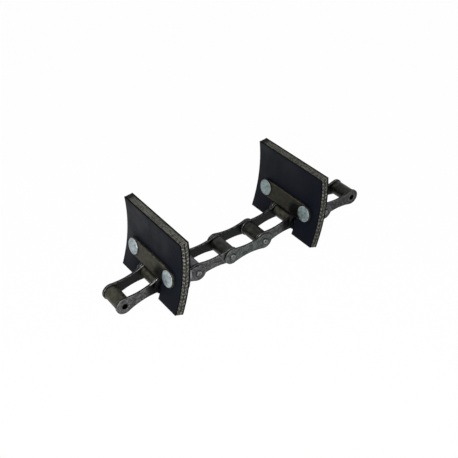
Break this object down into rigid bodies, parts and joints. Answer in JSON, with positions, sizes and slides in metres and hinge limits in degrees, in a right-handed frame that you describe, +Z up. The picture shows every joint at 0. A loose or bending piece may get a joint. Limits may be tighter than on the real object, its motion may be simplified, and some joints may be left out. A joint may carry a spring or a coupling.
{
  "type": "paddle conveyor chain",
  "caption": "Steel roller chain length with waisted side plates; two upright curved rubber paddles are riveted between bent wings and front straps to straddle the chain.",
  "frame": {"origin": "centre of the chain's length and width, on the flat surface that it lies on", "axes": "+Y along the chain from its front end to its rear end, +X across it to the right, +Z up"},
  "size_m": [0.0984, 0.3056, 0.0813],
  "materials": {
    "inner_plate": "dark blued and oiled, satin",
    "outer_plate": "dark blued and oiled, satin",
    "roller": "dark olive brown oiled steel",
    "bush": "oiled steel",
    "pin": "hardened steel, riveted bright ends",
    "strap": "brown grey mill scale, oiled",
    "rivet": "dull zinc plate",
    "rubber": "matt black rubber with two textile plies at the cut edges"
  },
  "bodies": {
    "link1": {"link1_inner_plate_left": "inner_plate", "link1_inner_plate_right": "inner_plate", "bush1": "bush", "bush2": "bush"},
    "link2": {"link2_wing_plate_left": "outer_plate", "link2_wing_plate_right": "outer_plate", "pin2": "pin", "pin3": "pin", "paddle_front": "rubber", "strap_front": "strap", "rivet_front_left": "rivet", "rivet_front_right": "rivet"},
    "link3": {"link3_inner_plate_left": "inner_plate", "link3_inner_plate_right": "inner_plate", "bush3": "bush", "bush4": "bush"},
    "link4": {"link4_outer_plate_left": "outer_plate", "link4_outer_plate_right": "outer_plate", "pin4": "pin", "pin5": "pin"},
    "link5": {"link5_inner_plate_left": "inner_plate", "link5_inner_plate_right": "inner_plate", "bush5": "bush", "bush6": "bush"},
    "link6": {"link6_wing_plate_left": "outer_plate", "link6_wing_plate_right": "outer_plate", "pin6": "pin", "pin7": "pin", "paddle_rear": "rubber", "strap_rear": "strap", "rivet_rear_left": "rivet", "rivet_rear_right": "rivet"},
    "link7": {"link7_inner_plate_left": "inner_plate", "link7_inner_plate_right": "inner_plate", "bush7": "bush", "bush8": "bush"},
    "roller1": {"roller1": "roller"},
    "roller2": {"roller2": "roller"},
    "roller3": {"roller3": "roller"},
    "roller4": {"roller4": "roller"},
    "roller5": {"roller5": "roller"},
    "roller6": {"roller6": "roller"},
    "roller7": {"roller7": "roller"},
    "roller8": {"roller8": "roller"}
  },
  "joints": [
    {"name": "pin2_bend", "type": "hinge", "parent": "link2", "child": "link1", "pos_m": [0, -0.10306, 0.01485], "axis": [1, 0, 0], "range_deg": [-34.8, 43.2]},
    {"name": "pin3_bend", "type": "hinge", "parent": "link3", "child": "link2", "pos_m": [0, -0.0621, 0.0088], "axis": [1, 0, 0], "range_deg": [-9.6, 68.4]},
    {"name": "pin4_bend", "type": "hinge", "parent": "link4", "child": "link3", "pos_m": [0, -0.0207, 0.0088], "axis": [1, 0, 0], "range_deg": [-18, 60]},
    {"name": "pin5_bend", "type": "hinge", "parent": "link4", "child": "link5", "pos_m": [0, 0.0207, 0.0088], "axis": [1, 0, 0], "range_deg": [-68.4, 9.6]},
    {"name": "pin6_bend", "type": "hinge", "parent": "link5", "child": "link6", "pos_m": [0, 0.06166, 0.01485], "axis": [1, 0, 0], "range_deg": [-43.2, 34.8]},
    {"name": "pin7_bend", "type": "hinge", "parent": "link6", "child": "link7", "pos_m": [0, 0.10261, 0.0088], "axis": [1, 0, 0], "range_deg": [-68.4, 9.6]},
    {"name": "roller1_spin", "type": "hinge", "parent": "link1", "child": "roller1", "pos_m": [0, -0.14401, 0.0088], "axis": [1, 0, 0], "continuous": true},
    {"name": "roller2_spin", "type": "hinge", "parent": "link1", "child": "roller2", "pos_m": [0, -0.10306, 0.01485], "axis": [1, 0, 0], "continuous": true},
    {"name": "roller3_spin", "type": "hinge", "parent": "link3", "child": "roller3", "pos_m": [0, -0.0621, 0.0088], "axis": [1, 0, 0], "continuous": true},
    {"name": "roller4_spin", "type": "hinge", "parent": "link3", "child": "roller4", "pos_m": [0, -0.0207, 0.0088], "axis": [1, 0, 0], "continuous": true},
    {"name": "roller5_spin", "type": "hinge", "parent": "link5", "child": "roller5", "pos_m": [0, 0.0207, 0.0088], "axis": [1, 0, 0], "continuous": true},
    {"name": "roller6_spin", "type": "hinge", "parent": "link5", "child": "roller6", "pos_m": [0, 0.06166, 0.01485], "axis": [1, 0, 0], "continuous": true},
    {"name": "roller7_spin", "type": "hinge", "parent": "link7", "child": "roller7", "pos_m": [0, 0.10261, 0.0088], "axis": [1, 0, 0], "continuous": true},
    {"name": "roller8_spin", "type": "hinge", "parent": "link7", "child": "roller8", "pos_m": [0, 0.14401, 0.0088], "axis": [1, 0, 0], "continuous": true}
  ]
}
